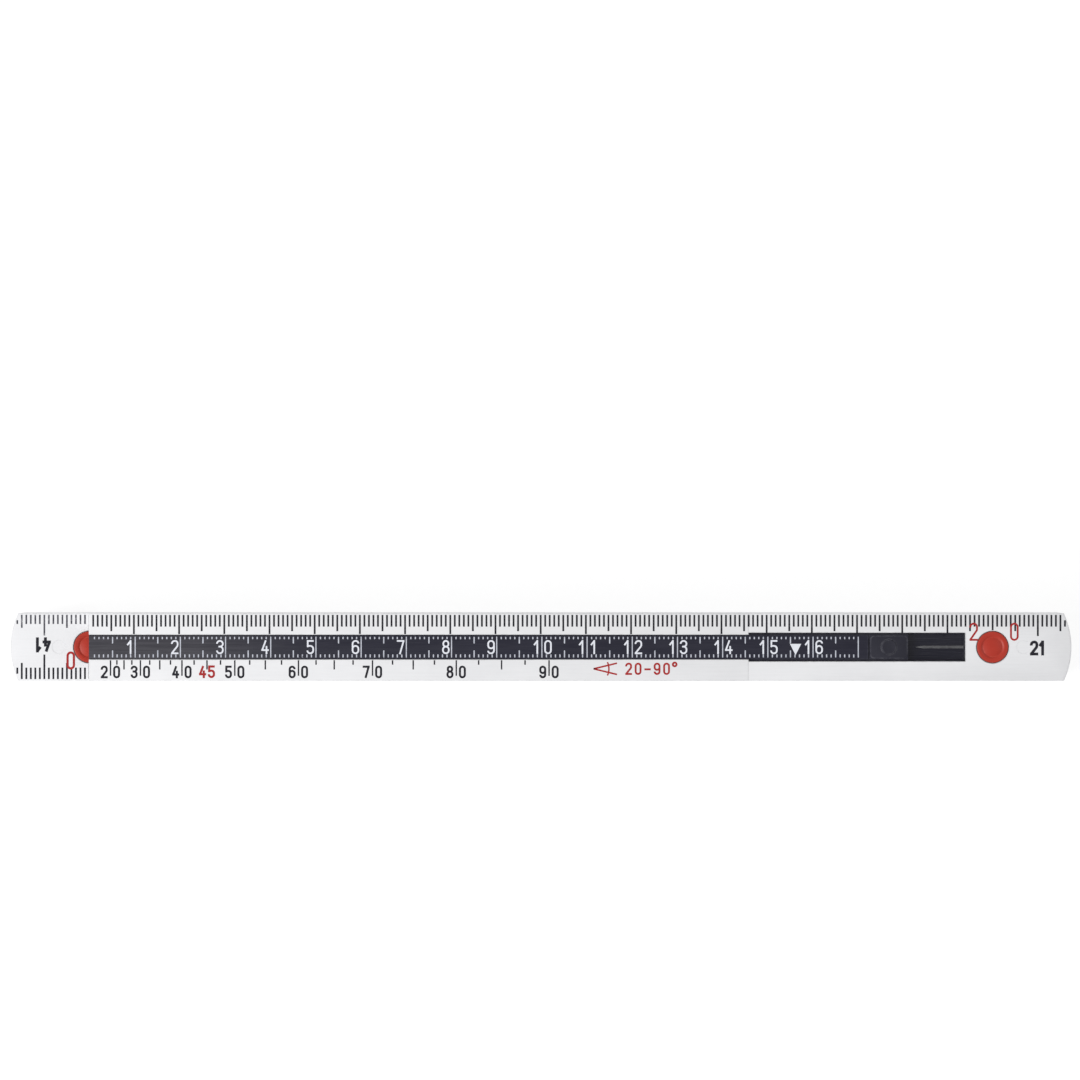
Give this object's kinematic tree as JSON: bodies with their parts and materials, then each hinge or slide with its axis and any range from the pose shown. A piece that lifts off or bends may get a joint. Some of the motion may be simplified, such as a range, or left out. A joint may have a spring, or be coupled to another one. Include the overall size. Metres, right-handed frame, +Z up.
{
  "type": "folding rule",
  "caption": "Folding rule of flat plastic leaves on click pivots, with a sliding depth gauge in its first leaf.",
  "frame": {"origin": "middle of the underside of the folded rule, where it rests", "axes": "+X along the folded rule, away from the zero end of the scale; +Y across the leaves; +Z up through the stack, from leaf 10 to leaf 1"},
  "size_m": [0.235, 0.015, 0.0331],
  "materials": {
    "leaf_plastic": "satin white glass-filled plastic with printed scales",
    "pin_plastic": "satin red plastic",
    "gauge_plastic": "satin black plastic with white printed marks",
    "guide_plastic": "smooth black plastic",
    "spring_steel": "bright spring steel",
    "black_ink": "matt black print",
    "red_ink": "matt red print",
    "white_ink": "matt white print"
  },
  "bodies": {
    "body_leaf_01": {"leaf_01": "leaf_plastic", "gauge_guide": "guide_plastic", "pivot_pin_1": "pin_plastic", "retaining_cap_1": "pin_plastic"},
    "body_leaf_02": {"leaf_02": "leaf_plastic", "pivot_pin_2": "pin_plastic", "retaining_cap_2": "pin_plastic", "click_spring_1": "spring_steel"},
    "body_leaf_03": {"leaf_03": "leaf_plastic", "pivot_pin_3": "pin_plastic", "retaining_cap_3": "pin_plastic", "click_spring_2": "spring_steel"},
    "body_leaf_04": {"leaf_04": "leaf_plastic", "pivot_pin_4": "pin_plastic", "retaining_cap_4": "pin_plastic", "click_spring_3": "spring_steel"},
    "body_leaf_05": {"leaf_05": "leaf_plastic", "pivot_pin_5": "pin_plastic", "retaining_cap_5": "pin_plastic", "click_spring_4": "spring_steel"},
    "body_leaf_06": {"leaf_06": "leaf_plastic", "pivot_pin_6": "pin_plastic", "retaining_cap_6": "pin_plastic", "click_spring_5": "spring_steel"},
    "body_leaf_07": {"leaf_07": "leaf_plastic", "pivot_pin_7": "pin_plastic", "retaining_cap_7": "pin_plastic", "click_spring_6": "spring_steel"},
    "body_leaf_08": {"leaf_08": "leaf_plastic", "pivot_pin_8": "pin_plastic", "retaining_cap_8": "pin_plastic", "click_spring_7": "spring_steel"},
    "body_leaf_09": {"leaf_09": "leaf_plastic", "pivot_pin_9": "pin_plastic", "retaining_cap_9": "pin_plastic", "click_spring_8": "spring_steel"},
    "body_leaf_10": {"leaf_10": "leaf_plastic", "click_spring_9": "spring_steel"},
    "body_gauge": {"depth_gauge": "gauge_plastic"}
  },
  "joints": [
    {"name": "hinge_9", "type": "hinge", "parent": "body_leaf_10", "child": "body_leaf_09", "pos_m": [0.1, 0, 0.00332], "axis": [0, 0, 1], "range_deg": [-180, 180]},
    {"name": "hinge_8", "type": "hinge", "parent": "body_leaf_09", "child": "body_leaf_08", "pos_m": [-0.1, 0, 0.00664], "axis": [0, 0, -1], "range_deg": [-180, 180]},
    {"name": "hinge_7", "type": "hinge", "parent": "body_leaf_08", "child": "body_leaf_07", "pos_m": [0.1, 0, 0.00996], "axis": [0, 0, 1], "range_deg": [-180, 180]},
    {"name": "hinge_6", "type": "hinge", "parent": "body_leaf_07", "child": "body_leaf_06", "pos_m": [-0.1, 0, 0.01328], "axis": [0, 0, -1], "range_deg": [-180, 180]},
    {"name": "hinge_5", "type": "hinge", "parent": "body_leaf_06", "child": "body_leaf_05", "pos_m": [0.1, 0, 0.0166], "axis": [0, 0, 1], "range_deg": [-180, 180]},
    {"name": "hinge_4", "type": "hinge", "parent": "body_leaf_05", "child": "body_leaf_04", "pos_m": [-0.1, 0, 0.01992], "axis": [0, 0, -1], "range_deg": [-180, 180]},
    {"name": "hinge_3", "type": "hinge", "parent": "body_leaf_04", "child": "body_leaf_03", "pos_m": [0.1, 0, 0.02324], "axis": [0, 0, 1], "range_deg": [-180, 180]},
    {"name": "hinge_2", "type": "hinge", "parent": "body_leaf_03", "child": "body_leaf_02", "pos_m": [-0.1, 0, 0.02656], "axis": [0, 0, -1], "range_deg": [-180, 180]},
    {"name": "hinge_1", "type": "hinge", "parent": "body_leaf_02", "child": "body_leaf_01", "pos_m": [0.1, 0, 0.02988], "axis": [0, 0, 1], "range_deg": [-180, 180]},
    {"name": "gauge_slide", "type": "slide", "parent": "body_leaf_01", "child": "body_gauge", "axis": [-1, 0, 0], "range_m": [0, 0.165]}
  ]
}
